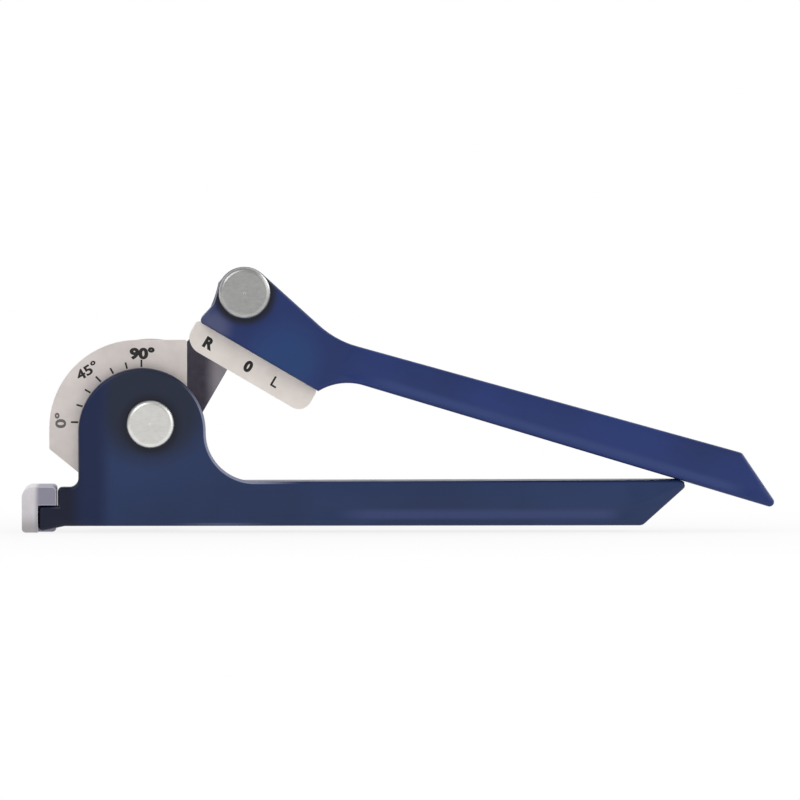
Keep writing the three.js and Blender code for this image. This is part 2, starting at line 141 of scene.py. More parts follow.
def start_material(name, values):
    """A new material with its shader's own values, and the Object coordinates that its patterns read."""
    material = bpy.data.materials.new(name)
    material.use_nodes = True
    tree = material.node_tree
    tree.nodes.clear()
    shader = add(tree, "ShaderNodeBsdfPrincipled", values)
    add(tree, "ShaderNodeOutputMaterial", {"Surface": shader.outputs["BSDF"]})
    coords = add(tree, "ShaderNodeTexCoord").outputs["Object"]
    return material, tree, shader, coords


def lay_over(tree, colour, layers):
    """Lays tones over a base colour one after another, each where its pattern is 1."""
    body = linear(colour)
    for pattern, tone in layers:
        # A Mix node has a factor and two inputs for each type of value, so the colour ones go by number
        body = add(tree, "ShaderNodeMix", {0: pattern, 6: body, 7: linear(tone)},
                   data_type="RGBA").outputs[2]
    return body


def finish_material(tree, shader, colour, pattern, span, rough, reliefs=()):
    """Feeds the shader its colour, a roughness that follows a pattern, and reliefs over one another.

    The pattern's values within the span go from the one roughness to the other. A relief is a height
    pattern, its depth in millimetres and its strength, and the topmost one comes first.
    """
    gloss = add(tree, "ShaderNodeMapRange", {"Value": pattern, "From Min": span[0], "From Max": span[1],
                                             "To Min": rough[0], "To Max": rough[1]})
    tree.links.new(colour, shader.inputs["Base Color"])
    tree.links.new(gloss.outputs["Result"], shader.inputs["Roughness"])
    above = shader
    for height, depth_mm, strength in reliefs:
        relief = add(tree, "ShaderNodeBump", {"Height": height, "Distance": depth_mm * MM,
                                              "Strength": strength})
        tree.links.new(relief.outputs["Normal"], above.inputs["Normal"])
        above = relief


def uneven(tree, coords, size_mm, span, values=(0.0, 1.0), detail=3.0, roughness=0.5):
    """Clouds of this size: what their noise has within the span is drawn out between two values."""
    cloud = add(tree, "ShaderNodeTexNoise", {"Vector": coords, "Scale": per_mm(size_mm), "Detail": detail,
                                             "Roughness": roughness}).outputs["Fac"]
    drawn_out = add(tree, "ShaderNodeMapRange", {"Value": cloud, "From Min": span[0], "From Max": span[1],
                                                 "To Min": values[0], "To Max": values[1]})
    return drawn_out.outputs["Result"]


def overlap(tree, pattern, *others):
    """1 where all of these patterns are 1."""
    for other in others:
        pattern = add(tree, "ShaderNodeMath", {0: pattern, 1: other}, operation="MULTIPLY").outputs["Value"]
    return pattern


def along(tree, coords, axis, none_mm, full_mm):
    """A soft change along an axis of the piece: 0 at one place and 1 at the other, in mm."""
    place = add(tree, "ShaderNodeSeparateXYZ", {"Vector": coords}).outputs[axis]
    soft = add(tree, "ShaderNodeMapRange", {"Value": place, "From Min": none_mm * MM,
                                            "From Max": full_mm * MM}, interpolation_type="SMOOTHSTEP")
    return soft.outputs["Result"]


def around(tree, coords, centre, full_mm, none_mm):
    """A soft round patch about a line along Y: 1 inside the first radius and 0 outside the second."""
    centred = add(tree, "ShaderNodeMapping", {"Vector": coords, "Scale": (1.0, 0.0, 1.0),
                                              "Location": (-centre.x * MM, 0.0, -centre.z * MM)})
    away = add(tree, "ShaderNodeVectorMath", {0: centred.outputs["Vector"]},
               operation="LENGTH").outputs["Value"]
    soft = add(tree, "ShaderNodeMapRange", {"Value": away, "From Min": none_mm * MM,
                                            "From Max": full_mm * MM}, interpolation_type="SMOOTHSTEP")
    return soft.outputs["Result"]


def edge_mask(tree, radius_mm, sharp):
    """Where the surface bends within this radius: 0 on a flat, 1 on an outer or inner edge."""
    rounded = add(tree, "ShaderNodeBevel", {"Radius": radius_mm * MM}, samples=6).outputs["Normal"]
    normal = add(tree, "ShaderNodeNewGeometry").outputs["Normal"]
    facing = add(tree, "ShaderNodeVectorMath", {0: rounded, 1: normal},
                 operation="DOT_PRODUCT").outputs["Value"]
    bend = add(tree, "ShaderNodeMapRange", {"Value": facing, "From Min": 0.99, "From Max": sharp})
    return bend.outputs["Result"]


def rim_band(tree):
    """1 on the rounded rim of a front face, and 0 on the face itself and on the walls beside it."""
    normal = add(tree, "ShaderNodeNewGeometry").outputs["Normal"]
    facing = add(tree, "ShaderNodeVectorMath", {0: normal, 1: (0.0, -1.0, 0.0)},
                 operation="DOT_PRODUCT").outputs["Value"]
    off_face = add(tree, "ShaderNodeMapRange", {"Value": facing, "From Min": 0.97, "From Max": 0.88})
    off_wall = add(tree, "ShaderNodeMapRange", {"Value": facing, "From Min": 0.02, "From Max": 0.3})
    return overlap(tree, off_face.outputs["Result"], off_wall.outputs["Result"])


def on_front(tree, coords, patch):
    """Keeps a patch to a handle's front face, with a soft edge just behind it."""
    front = along(tree, coords, "Y", none_mm=HANDLE_FRONT + 1.7, full_mm=HANDLE_FRONT + 0.5)
    return overlap(tree, patch, front)


def slope_patch(tree, coords, slope):
    """1 on the slope along an arm's foot, with soft edges and ends."""
    arm = add(tree, "ShaderNodeMapping", {"Vector": coords,
                                          "Rotation": (0.0, -slope["dip"], 0.0)}).outputs["Vector"]
    low = along(tree, arm, "Z", none_mm=slope["low"] - 0.8, full_mm=slope["low"] + 0.8)
    high = along(tree, arm, "Z", none_mm=slope["high"] + 1.2, full_mm=slope["high"] - 1.0)
    start = along(tree, arm, "X", none_mm=slope["start"], full_mm=slope["start"] + 15.0)
    end = along(tree, arm, "X", none_mm=slope["end"] + 2.0, full_mm=slope["end"] - 8.0)
    return overlap(tree, low, high, start, end)


def stove_enamel(name, colour, deep, worn, slope, wear_and_lit_tone, pin, pin_shade_mm, patches):
    """Stove enamel on a die casting: deep colour, half gloss, faint orange peel, thin at the edges."""
    material, tree, shader, coords = start_material(name, {"IOR": 1.4})
    # The enamel lies a little thicker in places, so its tone drifts over about 30 mm
    drift = uneven(tree, coords, size_mm=30, span=(0.35, 0.65), detail=2.0)
    # A ring of painted shade round the pin's head
    pin_shade = around(tree, coords, pin, full_mm=pin_shade_mm, none_mm=pin_shade_mm + 2.6)
    thin = edge_mask(tree, radius_mm=0.5, sharp=0.80)
    broken = uneven(tree, coords, size_mm=1.6, span=(0.40, 0.62), values=(0.15, 0.7), roughness=0.6)
    body = lay_over(tree, colour, [
        (drift, deep),
        # Painted highlight: the slope along the arm's foot is painted lighter, as where it catches the
        # light
        (on_front(tree, coords, slope_patch(tree, coords, slope)), wear_and_lit_tone),
        *patches(tree, coords),
        # Painted shade: a dark ring round the pin's head, where the head shades the enamel beside it
        (on_front(tree, coords, pin_shade), "#141a2c"),
        # Enamel draws back from sharp edges, which look lighter, and handling breaks the edge up
        (overlap(tree, thin, broken), worn),
    ])
    # Handling dulls the gloss a little, in patches of about 9 mm
    dull = add(tree, "ShaderNodeTexNoise", {"Vector": coords, "Scale": per_mm(9), "Detail": 3.0,
                                            "Roughness": 0.55}).outputs["Fac"]
    # Orange peel of about 1.2 mm over casting waves of about 20 mm
    peel, wave = (add(tree, "ShaderNodeTexNoise", {"Vector": coords, "Scale": per_mm(size), "Detail": 1.0,
                                                   "Roughness": 0.4}).outputs["Fac"] for size in (1.2, 20))
    finish_material(tree, shader, body, dull, span=(0.3, 0.7), rough=(0.33, 0.41),
                    reliefs=[(peel, 0.008, 1.0), (wave, 0.12, 1.0)])
    return material


def lower_patches(tree, coords):
    """Painted shade and a painted highlight on the lower handle's enamel, each patch with its tone."""
    lit_rim_zone = around(tree, coords, Vector((24.0, 0.0, 24.0)), full_mm=12, none_mm=30)
    return [
        # Painted shade: darker round and over the pivot, darker still on the cheek's left part, and darkest
        # on the lug by the tube hook
        (around(tree, coords, Vector((0.0, 0.0, 41.0)), full_mm=13, none_mm=24), "#1a233a"),
        (along(tree, coords, "X", none_mm=-12.0, full_mm=-18.5), "#061c46"),
        (along(tree, coords, "X", none_mm=-22.0, full_mm=-28.0), "#00082a"),
        # A painted highlight along the cheek's right-hand rim, where the rounded edge catches the light
        (overlap(tree, rim_band(tree), lit_rim_zone), "#8d91ac"),
    ]


def upper_patches(tree, coords):
    """Two patches on the upper handle's enamel, each with its tone."""
    seat_end = around(tree, coords, Vector((21.5, 0.0, 67.5)), full_mm=2, none_mm=8)
    shoe_corner = around(tree, coords, Vector((45.5, 0.0, 56.0)), full_mm=5, none_mm=17)
    return [
        # Lighter at the seat's left end
        (on_front(tree, coords, seat_end), "#4c5176"),
        # Bluer at the corner over the shoe
        (on_front(tree, coords, shoe_corner), "#1b3b71"),
    ]


def tumbled_aluminium(name, colour, dark, worn, rough=(0.38, 0.50), lay=(1.0, 1.0, 1.0), leg_shade=None):
    """Machined and tumbled aluminium: satin, faint tool lines along the lay, polished edges."""
    material, tree, shader, coords = start_material(name, {"Metallic": 1.0})
    # Handling and oxide leave the tone uneven over about 10 mm
    layers = [(uneven(tree, coords, size_mm=10, span=(0.35, 0.68), detail=4.0, roughness=0.55), dark)]
    if leg_shade:
        # The hook's wall is darker towards its foot
        layers.append((along(tree, coords, "Z", none_mm=5.0, full_mm=-1.0), "#b5b1b2"))
        # Painted shade: its leg is darker than its wall, as where it lies in shade behind the wall
        layers.append((along(tree, coords, "X", none_mm=-39.6, full_mm=-37.4), leg_shade))
    layers.append((edge_mask(tree, radius_mm=0.35, sharp=0.85), worn))
    # Tool lines are about 0.2 mm apart, drawn 0.4 mm so that they show
    lengthened = add(tree, "ShaderNodeMapping", {"Vector": coords, "Scale": lay}).outputs["Vector"]
    lines = add(tree, "ShaderNodeTexNoise", {"Vector": lengthened, "Scale": per_mm(0.4), "Detail": 3.0,
                                             "Roughness": 0.6}).outputs["Fac"]
    # Tumbling leaves shallow pits of about 0.8 mm
    pits = add(tree, "ShaderNodeTexNoise", {"Vector": coords, "Scale": per_mm(0.8), "Detail": 2.0,
                                            "Roughness": 0.5}).outputs["Fac"]
    finish_material(tree, shader, lay_over(tree, colour, layers), lines, span=(0.3, 0.7), rough=rough,
                    reliefs=[(lines, 0.004, 1.0), (pits, 0.006, 1.0)])
    return material


def turned_zinc(name, centre, colour, dark, bright):
    """Turned, zinc-plated steel: rings from the lathe tool about the pin's own axis, bright edges."""
    material, tree, shader, coords = start_material(name, {"Metallic": 1.0})
    # The tool's feed is about 0.15 mm; the rings are drawn 0.7 mm apart so that they show.
    # A wave texture of scale 1 repeats every pi / 10 of a metre.
    centred = add(tree, "ShaderNodeMapping", {"Vector": coords,
                                              "Location": tuple(-centre * MM)}).outputs["Vector"]
    rings = add(tree, "ShaderNodeTexWave", {"Vector": centred, "Scale": per_mm(0.7) * math.pi / 10,
                                            "Distortion": 0.6, "Detail": 2.0, "Detail Scale": 1.5},
                wave_type="RINGS", rings_direction="Y", wave_profile="SIN").outputs["Fac"]
    # Plating clouds of about 3 mm, and scuffs drawn out across the face
    clouds = uneven(tree, coords, size_mm=3.0, span=(0.35, 0.65), detail=4.0, roughness=0.6)
    crosswise = add(tree, "ShaderNodeMapping", {"Vector": coords,
                                                "Scale": (0.35, 1.0, 1.0)}).outputs["Vector"]
    scratches = add(tree, "ShaderNodeTexNoise", {"Vector": crosswise, "Scale": per_mm(0.9), "Detail": 4.0,
                                                 "Roughness": 0.65}).outputs["Fac"]
    # Each of the two darkens the plating by up to half
    scuffed = add(tree, "ShaderNodeMapRange", {"Value": scratches, "From Min": 0.35, "From Max": 0.65,
                                               "To Max": 0.5}).outputs["Result"]
    marked = add(tree, "ShaderNodeMath", {0: clouds, 1: 0.5, 2: scuffed},
                 operation="MULTIPLY_ADD").outputs["Value"]
    body = lay_over(tree, colour, [(marked, dark), (edge_mask(tree, radius_mm=0.4, sharp=0.85), bright)])
    finish_material(tree, shader, body, clouds, span=(0.0, 1.0), rough=(0.30, 0.42),
                    reliefs=[(rings, 0.008, 0.8), (scratches, 0.010, 1.0)])
    return material


def phosphated_steel(name, colour, dark, worn, wear_and_lit_tone=None):
    """Stamped steel plate with a grey phosphate: matt crystals of about 0.5 mm, rubbed edges."""
    material, tree, shader, coords = start_material(name, {"Metallic": 0.85})
    layers = [(uneven(tree, coords, size_mm=6, span=(0.35, 0.65), detail=4.0, roughness=0.6), dark)]
    if wear_and_lit_tone:
        # Painted light and shade: the link's right side is painted lighter grey, as lit, and the side
        # behind the former stays dark, as in its shade
        layers.append((along(tree, coords, "X", none_mm=18.0, full_mm=23.5), wear_and_lit_tone))
    layers.append((edge_mask(tree, radius_mm=0.6, sharp=0.82), worn))
    crystals = add(tree, "ShaderNodeTexNoise", {"Vector": coords, "Scale": per_mm(0.5), "Detail": 2.0,
                                                "Roughness": 0.5}).outputs["Fac"]
    finish_material(tree, shader, lay_over(tree, colour, layers), crystals, span=(0.3, 0.7),
                    rough=(0.42, 0.58), reliefs=[(crystals, 0.008, 1.0)])
    return material


def black_oxide(name, colour, oiled, wear_and_lit_tone):
    """Hardened steel screws and clips, blackened and oiled: dark, half gloss, rubbed bright at edges."""
    material, tree, shader, coords = start_material(name, {"Metallic": 0.9})
    oil = uneven(tree, coords, size_mm=2.5, span=(0.3, 0.7))
    body = lay_over(tree, colour, [(oil, oiled), (edge_mask(tree, radius_mm=0.3, sharp=0.85), wear_and_lit_tone)])
    skin = add(tree, "ShaderNodeTexNoise", {"Vector": coords, "Scale": per_mm(0.6), "Detail": 2.0,
                                            "Roughness": 0.5}).outputs["Fac"]
    finish_material(tree, shader, body, oil, span=(0.0, 1.0), rough=(0.30, 0.45),
                    reliefs=[(skin, 0.006, 1.0)])
    return material


def sintered_bronze(name, colour, pore, burnished):
    """Oil-filled bronze bush, pressed from powder: warm, matt and full of fine pores."""
    material, tree, shader, coords = start_material(name, {"Metallic": 1.0})
    # The pores are under 0.1 mm wide, and are drawn 0.5 mm apart so that they show
    pores = add(tree, "ShaderNodeTexVoronoi", {"Vector": coords, "Scale": per_mm(0.5)}).outputs["Distance"]
    open_pore = add(tree, "ShaderNodeMapRange", {"Value": pores, "From Min": 0.0, "From Max": 0.35,
                                                 "To Min": 1.0, "To Max": 0.0}).outputs["Result"]
    # Sizing in the press and the turning link burnish the edges, which closes the pores there
    edge = edge_mask(tree, radius_mm=0.3, sharp=0.85)
    body = lay_over(tree, colour, [(open_pore, pore), (edge, burnished)])
    finish_material(tree, shader, body, pores, span=(0.0, 0.6), rough=(0.62, 0.40),
                    reliefs=[(pores, 0.02, 1.0)])
    return material


def stamping_ink(name, colour, wear_and_lit_tone):
    """Ink pressed into satin metal: flat and matt, a little worn through."""
    material, tree, shader, coords = start_material(name, {"IOR": 1.45})
    wear = uneven(tree, coords, size_mm=0.7, span=(0.55, 0.75), detail=4.0, roughness=0.65)
    body = lay_over(tree, colour, [(wear, wear_and_lit_tone)])
    finish_material(tree, shader, body, wear, span=(0.0, 1.0), rough=(0.55, 0.7))
    return material


LOWER_ENAMEL = stove_enamel("navy_stove_enamel_lower", colour="#223662", deep="#1d3058", worn="#4b5680",
                            slope=LOWER_SLOPE, wear_and_lit_tone="#364371", pin=MAIN_PIVOT, pin_shade_mm=8.6,
                            patches=lower_patches)
UPPER_ENAMEL = stove_enamel("navy_stove_enamel_upper", colour="#1c3270", deep="#192c61", worn="#465796",
                            slope=UPPER_SLOPE, wear_and_lit_tone="#2f4177", pin=UPPER_PIVOT, pin_shade_mm=9.2,
                            patches=upper_patches)
SATIN_FORMER = tumbled_aluminium("tumbled_aluminium_former", colour="#e3dedb", dark="#cfc9c5",
                                 worn="#f2efec")
SATIN_SHOE = tumbled_aluminium("tumbled_aluminium_shoe", colour="#fdf5ee", dark="#f0e8e1", worn="#fffcf9",
                               rough=(0.44, 0.56), lay=(0.2, 1.0, 0.2))
SATIN_PLATE = tumbled_aluminium("satin_aluminium_scale", colour="#ebe3df", dark="#ded5d2", worn="#f5f0ee",
                                rough=(0.42, 0.52))
SATIN_HOOK = tumbled_aluminium("tumbled_aluminium_hook", colour="#ece8eb", dark="#dcd8dd", worn="#f8f6f8",
                               leg_shade="#9b98a9")
MAIN_ZINC = turned_zinc("turned_zinc_main_pin", MAIN_PIVOT, colour="#efeeea", dark="#dfdeda",
                        bright="#fbfaf8")
UPPER_ZINC = turned_zinc("turned_zinc_upper_pin", UPPER_PIVOT, colour="#bfbfbe", dark="#a9a9a8",
                         bright="#e8e8e6")
DOWEL_STEEL = phosphated_steel("ground_dowel_steel", colour="#a2a2a4", dark="#8d8d90", worn="#cfcfd1")
LINK_STEEL = phosphated_steel("phosphated_link_steel", colour="#625f6e", dark="#54515f", worn="#8f8c96",
                              wear_and_lit_tone="#b6b2bc")
OXIDE = black_oxide("black_oxide_steel", colour="#2c2c30", oiled="#3a3a3f", wear_and_lit_tone="#7c7c80")
BRONZE = sintered_bronze("sintered_bronze", colour="#a97c46", pore="#5c4226", burnished="#c4965a")
INK = stamping_ink("black_stamping_ink", colour="#1d1b1c", wear_and_lit_tone="#3d3936")
FAINT_INK = stamping_ink("worn_stamping_ink", colour="#6f6967", wear_and_lit_tone="#948d8a")


# Pieces
def finish_piece(name, bm, body, material, replaced=(), smooth=35):
    """Turns a bmesh into a piece at the origin that rides on a body and takes a slot's finish."""
    mesh = bpy.data.meshes.new(name)
    bm.to_mesh(mesh)
    bm.free()
    piece = bpy.data.objects.new(name, mesh)
    bpy.context.scene.collection.objects.link(piece)
    mesh.materials.append(material)
    # A copy of a solid brings stored corner normals, which no longer fit its joined faces
    stored = mesh.attributes.get("custom_normal")
    if stored:
        mesh.attributes.remove(stored)
    mesh.shade_smooth()
    mesh.set_sharp_from_angle(angle=math.radians(smooth))
    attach(piece, body)
    if replaced:
        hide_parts(*replaced)
    return piece


def flat_faces(piece):
    """Keeps broad faces flat in the light while narrow bevels beside them shade round."""
    weights = piece.modifiers.new("broad_faces_stay_flat", "WEIGHTED_NORMAL")
    weights.keep_sharp = True
    weights.weight = 80


def slope_axes(slope):
    """The directions along an arm and square to it, upwards."""
    cosine, sine = math.cos(slope["dip"]), math.sin(slope["dip"])
    return Vector((cosine, 0.0, -sine)), Vector((sine, 0.0, cosine))


def cut_slope(bm, slope):
    """Presses the slope into the arm's front: a step along its top, from which it rises to its foot."""
    near = 0.01
    front = min(v.co.y for v in bm.verts)
    lengthwise, across = slope_axes(slope)
    cuts = [(across, slope["low"]), (across, slope["high"]), (across, slope["high"] + SLOPE_STEP),
            (lengthwise, slope["start"] - SLOPE_LEAD), (lengthwise, slope["start"]),
            (lengthwise, slope["end"]), (lengthwise, slope["end"] + SLOPE_TAIL)]
    for normal, distance in cuts:
        faces = [f for f in bm.faces if all(abs(v.co.y - front) < near * MM for v in f.verts)]
        geom = faces + list({e for f in faces for e in f.edges}) + list({v for f in faces for v in f.verts})
        bmesh.ops.bisect_plane(bm, geom=geom, dist=0.0001 * MM, plane_co=normal * distance * MM,
                               plane_no=normal)
    for v in bm.verts:
        if (abs(v.co.y - front) < near * MM and abs(v.co.dot(across) / MM - slope["high"]) < near
                and slope["start"] - near < v.co.dot(lengthwise) / MM < slope["end"] + near):
            v.co.y += SLOPE_DEPTH * MM


def close_rest(bm):
    """Brings the lower arm's tip up to the arm above it, on which it rests."""
    across = slope_axes(UPPER_SLOPE)[1]
    tip = [v for v in bm.verts if v.co.x > REST_START * MM]
    top = max(v.co.dot(across) for v in tip)
    for v in tip:
        if top - v.co.dot(across) < REST_SKIN * MM:
            v.co += across * REST_LIFT * MM


def from_solid(name, node, body, material, round_mm=0.0, smooth=35, slope=None):
    """A merged copy of a solid with its flats joined, then its corners rounded."""
    bm = bmesh.new()
    bm.from_mesh(frame["nodes"][node].data)
    bmesh.ops.remove_doubles(bm, verts=bm.verts, dist=0.004 * MM)
    bmesh.ops.dissolve_limit(bm, angle_limit=math.radians(0.3), verts=bm.verts, edges=bm.edges)
    if slope:
        cut_slope(bm, slope)
    if node == "lower_handle":
        close_rest(bm)
    piece = finish_piece(name, bm, body, material, (node,), smooth)
    if round_mm:
        rounding = piece.modifiers.new("corner_rounding", "BEVEL")
        rounding.width = round_mm * MM
        rounding.segments = 3
        rounding.limit_method = "ANGLE"
        rounding.angle_limit = math.radians(smooth)
    flat_faces(piece)
    return piece


def extent(node):
    """A round node's front and rear depth and its radius, in mm."""
    low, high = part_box(node)
    return low[1] / MM, high[1] / MM, (high[0] - low[0]) / 2 / MM


def turned_piece(name, profile, centre, body, material, slot, roundings=(), steps=96):
    """A lathe-turned piece: [radius, y] points spun about a line along +Y, then chosen corners rounded."""
    bm = bmesh.new()
    points = [bm.verts.new(Vector((r, y, 0.0)) * MM) for r, y in profile]
    pairs = list(zip(points, points[1:]))
    if profile[0][0] or profile[-1][0]:
        pairs.append((points[-1], points[0]))
    edges = [bm.edges.new(pair) for pair in pairs]
    bmesh.ops.spin(bm, geom=points + edges, cent=(0, 0, 0), axis=(0, 1, 0), angle=2 * math.pi, steps=steps,
                   use_merge=True)
    bmesh.ops.remove_doubles(bm, verts=bm.verts, dist=0.001 * MM)
    bmesh.ops.recalc_face_normals(bm, faces=bm.faces)
    near = 0.01 * MM
    for corner, radius in roundings:
        r, y = profile[corner]
        rim = [edge for edge in bm.edges
               if all(abs(math.hypot(v.co.x, v.co.z) - r * MM) < near and abs(v.co.y - y * MM) < near
                      for v in edge.verts)]
        bmesh.ops.bevel(bm, geom=rim, offset=radius * MM, segments=4, profile=0.5, affect="EDGES",
                        material=-1, clamp_overlap=True)
    bmesh.ops.translate(bm, verts=bm.verts, vec=centre * MM)
    piece = finish_piece(name, bm, body, material, (slot,), 30)
    flat_faces(piece)
    return piece


def headed_pin(prefix, centre, body, material):
    """A headed pin: broad rounded rim, the lathe's small centre mark, a groove for the clip."""
    node = prefix + "_pin"
    front, rear, head = extent(node)
    clip_front, clip_rear, _ = extent(prefix + "_clip")
    mark, dish, play, chamfer = 0.5, 0.05, 0.3, 0.6
    # Two rings of points keep the head's face flat up to its rounded rim
    profile = [(0.0, front + mark), (mark, front + dish), (head - 2.4, front), (head - 1.6, front),
               (head, front), (head, PIN_HEAD_BACK), (PIN_SHANK, PIN_HEAD_BACK),
               (PIN_SHANK, clip_front - play), (CLIP_GROOVE, clip_front - play),
               (CLIP_GROOVE, clip_rear + play), (PIN_SHANK, clip_rear + play),
               (PIN_SHANK, rear - chamfer), (PIN_SHANK - chamfer, rear), (0.0, rear)]
    # The head's two rims, then the groove's two lips
    roundings = [(4, 1.5), (5, 0.25), (10, 0.2), (7, 0.15)]
    return turned_piece(node + "_turned", profile, centre, body, material, node, roundings)


def plain_ring(node, name, centre, body, material, rounding):
    """A washer or bush: a ring with its outer corners rounded."""
    front, rear, radius = extent(node)
    profile = [(PIN_HOLE, front), (radius, front), (radius, rear), (PIN_HOLE, rear)]
    roundings = [(1, rounding), (2, rounding)]
    return turned_piece(name, profile, centre, body, material, node, roundings, steps=72)


def words(name, text, size_mm, middle, turn, body, front_y, weight, ink, wide=1.0):
    """Printed characters on a face that looks towards -Y: middle in mm, turn anticlockwise in radians."""
    curve = bpy.data.curves.new(name, "FONT")
    curve.body = text
    curve.size = size_mm * MM
    curve.align_x = "CENTER"
    curve.align_y = "CENTER"
    # A bevel thickens the strokes evenly; the ink is pressed thin again below
    curve.bevel_depth = weight * MM
    curve.bevel_resolution = 0
    curve.resolution_u = 6
    holder = bpy.data.objects.new(name + "_curve", curve)
    bpy.context.scene.collection.objects.link(holder)
    bpy.context.view_layer.update()
    flat = bpy.data.meshes.new_from_object(holder.evaluated_get(bpy.context.evaluated_depsgraph_get()))
    bm = bmesh.new()
    bm.from_mesh(flat)
    bpy.data.objects.remove(holder)
    bpy.data.curves.remove(curve)
    bpy.data.meshes.remove(flat)
    bmesh.ops.remove_doubles(bm, verts=bm.verts, dist=0.001 * MM)
    low = [min(v.co[i] for v in bm.verts) for i in (0, 1)]
    high = [max(v.co[i] for v in bm.verts) for i in (0, 1)]
    bmesh.ops.translate(bm, verts=bm.verts, vec=(-(low[0] + high[0]) / 2, -(low[1] + high[1]) / 2, 0))
    bmesh.ops.scale(bm, verts=bm.verts, vec=(wide, 1, INK_DEPTH / (2 * weight)))
    stand = Matrix.Rotation(math.pi / 2, 4, "X") @ Matrix.Rotation(turn, 4, "Z")
    place = Matrix.Translation(Vector((middle[0], front_y - INK_DEPTH / 2, middle[1])) * MM)
    bmesh.ops.transform(bm, matrix=place @ stand, verts=bm.verts)
    return finish_piece(name, bm, body, ink)


def cheek_edge(angle):
    """Distance from the scale's centre to the cheek's outline in a direction above the horizontal."""
    offset = SCALE_CENTRE - CHEEK_CROWN
    outward = offset.z * math.sin(angle) - offset.x * math.cos(angle)
    return -outward + math.sqrt(outward ** 2 + CHEEK_RADIUS ** 2 - offset.length_squared)


def scale_ticks():
    """The scale's ticks, which start just outside the cheek's edge; every third one is longer."""
    bm = bmesh.new()
    for index in range(TICK_COUNT):
        angle = math.radians(TICK_TURN * index)
        length = MAIN_TICK_LENGTH if index % 3 == 0 else TICK_LENGTH
        middle = cheek_edge(angle) + TICK_GAP + length / 2
        tick = bmesh.ops.create_cube(bm, size=1.0)["verts"]
        bmesh.ops.scale(bm, verts=tick, vec=(length * MM, INK_DEPTH * MM, TICK_WIDTH * MM))
        bmesh.ops.translate(bm, verts=tick, vec=(-middle * MM, 0, 0))
        bmesh.ops.rotate(bm, verts=tick, cent=(0, 0, 0), matrix=Matrix.Rotation(angle, 3, "Y"))
        on_plate = Vector((SCALE_CENTRE.x, PLATE_FRONT - INK_DEPTH / 2, SCALE_CENTRE.z)) * MM
        bmesh.ops.translate(bm, verts=tick, vec=on_plate)
    return finish_piece("scale_ticks", bm, "base", INK)


def shoe_place(lengthwise, down):
    """A place on the shoe's front, from the upper pivot along and across the shoe's own slope."""
    return (UPPER_PIVOT.x + lengthwise * math.cos(SHOE_DIP) - down * math.sin(SHOE_DIP),
            UPPER_PIVOT.z - lengthwise * math.sin(SHOE_DIP) - down * math.cos(SHOE_DIP))


from_solid("lower_handle_casting", "lower_handle", "base", LOWER_ENAMEL, smooth=50, slope=LOWER_SLOPE)
from_solid("upper_handle_casting", "upper_handle", "handle", UPPER_ENAMEL, smooth=50, slope=UPPER_SLOPE)
from_solid("scale_plate_blank", "scale_plate", "base", SATIN_PLATE)
from_solid("former_block", "former", "base", SATIN_FORMER, round_mm=0.2, smooth=30)
from_solid("forming_shoe_block", "forming_shoe", "handle", SATIN_SHOE, round_mm=0.35, smooth=30)
from_solid("tube_hook_block", "tube_hook", "base", SATIN_HOOK, round_mm=0.4, smooth=30)
from_solid("link_plate_blank", "link_plate", "link", LINK_STEEL, round_mm=0.5)
headed_pin("main", MAIN_PIVOT, "base", MAIN_ZINC)
headed_pin("upper", UPPER_PIVOT, "handle", UPPER_ZINC)
for prefix, body, zinc, centre in (("main", "base", MAIN_ZINC, MAIN_PIVOT),
                                   ("upper", "handle", UPPER_ZINC, UPPER_PIVOT)):
    plain_ring(prefix + "_washer_inner", prefix + "_washer_inner_ring", centre, body, zinc, rounding=0.3)
    plain_ring(prefix + "_washer_outer", prefix + "_washer_outer_ring", centre, body, zinc, rounding=0.3)
    plain_ring("link_bush_" + prefix, "link_bush_" + prefix + "_sleeve", centre, "link", BRONZE,
               rounding=0.2)
    from_solid(prefix + "_clip_ring", prefix + "_clip", body, OXIDE, round_mm=0.12)
for node in ("hook_screw", "former_screw_1", "former_screw_2"):
    from_solid(node + "_body", node, "base", OXIDE, round_mm=0.12)
for node in ("shoe_screw_1", "shoe_screw_2"):
    from_solid(node + "_body", node, "handle", OXIDE, round_mm=0.12)
for node in ("dowel_pin_1", "dowel_pin_2"):
    from_solid(node + "_body", node, "base", DOWEL_STEEL, round_mm=0.3)

# The scale's ticks, then its numbers, each with its size, middle, turn in degrees, stroke weight and ink
scale_ticks()
for number, size, middle, turn, weight, ink in (("0", 4.8, (-30.5, 35.6), 90, 0.16, FAINT_INK),
                                                ("45", 4.6, (-21.5, 52.5), 32, 0.13, INK),
                                                ("90", 4.8, (-2.8, 58.3), 0, 0.28, INK)):
    words("scale_number_" + number, number + "°", size, middle, math.radians(turn), "base",
          PLATE_FRONT, weight, ink, wide=NUMBER_WIDTH)
# The shoe's reference marks, each with its place along the shoe and its stroke weight
for letter, lengthwise, weight in (("R", -1.6, 0.3), ("0", 13.8, 0.3), ("L", 24.4, 0.09)):
    words("shoe_mark_" + letter, letter, SHOE_MARK_SIZE, shoe_place(lengthwise, SHOE_MARK_DROP), -SHOE_DIP,
          "handle", SHOE_FRONT, weight, INK)


